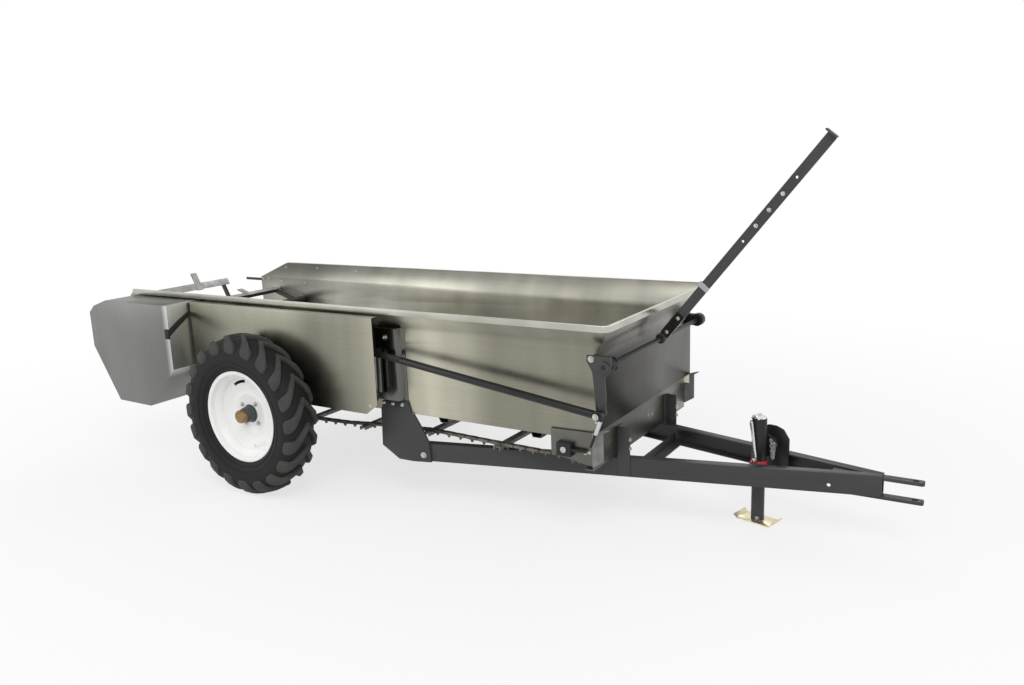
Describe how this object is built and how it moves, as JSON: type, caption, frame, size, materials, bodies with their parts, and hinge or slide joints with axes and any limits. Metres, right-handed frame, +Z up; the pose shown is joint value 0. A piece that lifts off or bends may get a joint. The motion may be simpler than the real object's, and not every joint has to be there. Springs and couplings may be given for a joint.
{
  "type": "manure spreader",
  "caption": "Ground-driven manure spreader for towing: open stainless box, moving-slat floor, rear beater, draw rails to a pin hitch, engaging lever and parking jack.",
  "frame": {"origin": "Centre of the bounding box in plan, at floor level under the tyres and the jack foot.", "axes": "+X points forward to the hitch, +Y to the left of travel, +Z up. The axle is at x = -0.7145 m."},
  "size_m": [3.899, 1.523, 1.498],
  "materials": {
    "stainless": "brushed",
    "floor_board": "matte",
    "apron_steel": "matte",
    "bright_steel": "satin",
    "frame_paint": "satin",
    "black_paint": "satin",
    "rim_paint": "gloss",
    "hub_paint": "satin",
    "tyre": "matte",
    "latch_rubber": "matte",
    "collar_paint": "satin",
    "crank_chrome": "polished",
    "foot_zinc": "satin"
  },
  "bodies": {
    "chassis": {"apron": "apron_steel", "axle": "frame_paint", "beater_bearing_left": "black_paint", "beater_bearing_right": "black_paint", "box_floor": "floor_board", "box_front": "stainless", "box_rim": "stainless", "box_side_left": "stainless", "box_side_right": "stainless", "bracket_left": "frame_paint", "bracket_right": "frame_paint", "control_bearing_left": "black_paint", "control_bearing_right": "black_paint", "cross_brace": "frame_paint", "drive_chain_left": "apron_steel", "drive_chain_right": "apron_steel", "floor_frame": "stainless", "front_channel": "stainless", "front_shaft": "bright_steel", "hitch_strap_lower": "frame_paint", "hitch_strap_upper": "frame_paint", "hood_hinge_left": "black_paint", "hood_hinge_right": "black_paint", "jack_mount": "black_paint", "post_left": "stainless", "post_right": "stainless", "rail_left": "frame_paint", "rail_right": "frame_paint", "rear_bearing_left": "black_paint", "rear_bearing_right": "black_paint", "rear_shaft": "bright_steel", "rear_stay_left": "black_paint", "rear_stay_right": "black_paint", "shield_left": "stainless", "shield_right": "stainless", "take_up_left": "black_paint", "take_up_right": "black_paint", "upright_left": "frame_paint", "upright_right": "frame_paint"},
    "wheel_right": {"tyre_right": "tyre", "wheel_rim_right": "rim_paint", "hub_right": "hub_paint"},
    "wheel_left": {"tyre_left": "tyre", "wheel_rim_left": "rim_paint", "hub_left": "hub_paint"},
    "beater": {"beater": "black_paint"},
    "control": {"lever": "frame_paint", "control_shaft": "black_paint", "crank_arm": "frame_paint"},
    "link_rod": {"link_rod": "black_paint"},
    "rear_arm": {"rear_arm": "black_paint"},
    "short_link": {"short_link": "bright_steel"},
    "hood_right": {"hood_right": "stainless", "latch_right": "latch_rubber"},
    "hood_left": {"hood_left": "stainless", "latch_left": "latch_rubber"},
    "jack": {"jack_tube": "black_paint", "jack_collar": "collar_paint", "jack_crank": "crank_chrome"},
    "jack_leg": {"jack_leg": "foot_zinc"}
  },
  "joints": [
    {"name": "wheel_right_turn", "type": "hinge", "parent": "chassis", "child": "wheel_right", "pos_m": [-0.7145, -0.6775, 0.362], "axis": [0, 1, 0], "continuous": true},
    {"name": "wheel_left_turn", "type": "hinge", "parent": "chassis", "child": "wheel_left", "pos_m": [-0.7145, 0.6775, 0.362], "axis": [0, 1, 0], "continuous": true},
    {"name": "beater_turn", "type": "hinge", "parent": "chassis", "child": "beater", "pos_m": [-1.4745, 0, 0.64], "axis": [0, 1, 0], "continuous": true},
    {"name": "control_turn", "type": "hinge", "parent": "chassis", "child": "control", "pos_m": [0.9575, 0, 0.705], "axis": [0, 1, 0], "range_deg": [-20, 15]},
    {"name": "link_rod_turn", "type": "hinge", "parent": "control", "child": "link_rod", "pos_m": [0.9375, -0.54, 0.529], "axis": [0, 1, 0], "range_deg": [-15, 20]},
    {"name": "rear_arm_turn", "type": "hinge", "parent": "chassis", "child": "rear_arm", "pos_m": [-0.0965, -0.5, 0.492], "axis": [0, 1, 0], "range_deg": [-15, 20]},
    {"name": "short_link_turn", "type": "hinge", "parent": "control", "child": "short_link", "pos_m": [0.9375, -0.494, 0.529], "axis": [0, 1, 0], "range_deg": [-30, 40]},
    {"name": "hood_right_open", "type": "hinge", "parent": "chassis", "child": "hood_right", "pos_m": [-1.7795, -0.468, 0.57], "axis": [0, 0, -1], "range_deg": [0, 90]},
    {"name": "hood_left_open", "type": "hinge", "parent": "chassis", "child": "hood_left", "pos_m": [-1.7795, 0.468, 0.57], "axis": [0, 0, 1], "range_deg": [0, 90]},
    {"name": "jack_swing", "type": "hinge", "parent": "chassis", "child": "jack", "pos_m": [1.3701, 0.0084, 0.305], "axis": [0.2382, 0.9712, 0], "range_deg": [0, 90]},
    {"name": "jack_leg_slide", "type": "slide", "parent": "jack", "child": "jack_leg", "axis": [0, 0, 1], "range_m": [0, 0.13]}
  ],
  "couplings": [
    {"joint": "link_rod_turn", "follows": "control_turn", "ratio": -1},
    {"joint": "rear_arm_turn", "follows": "control_turn", "ratio": -1},
    {"joint": "short_link_turn", "follows": "control_turn", "ratio": -2}
  ]
}
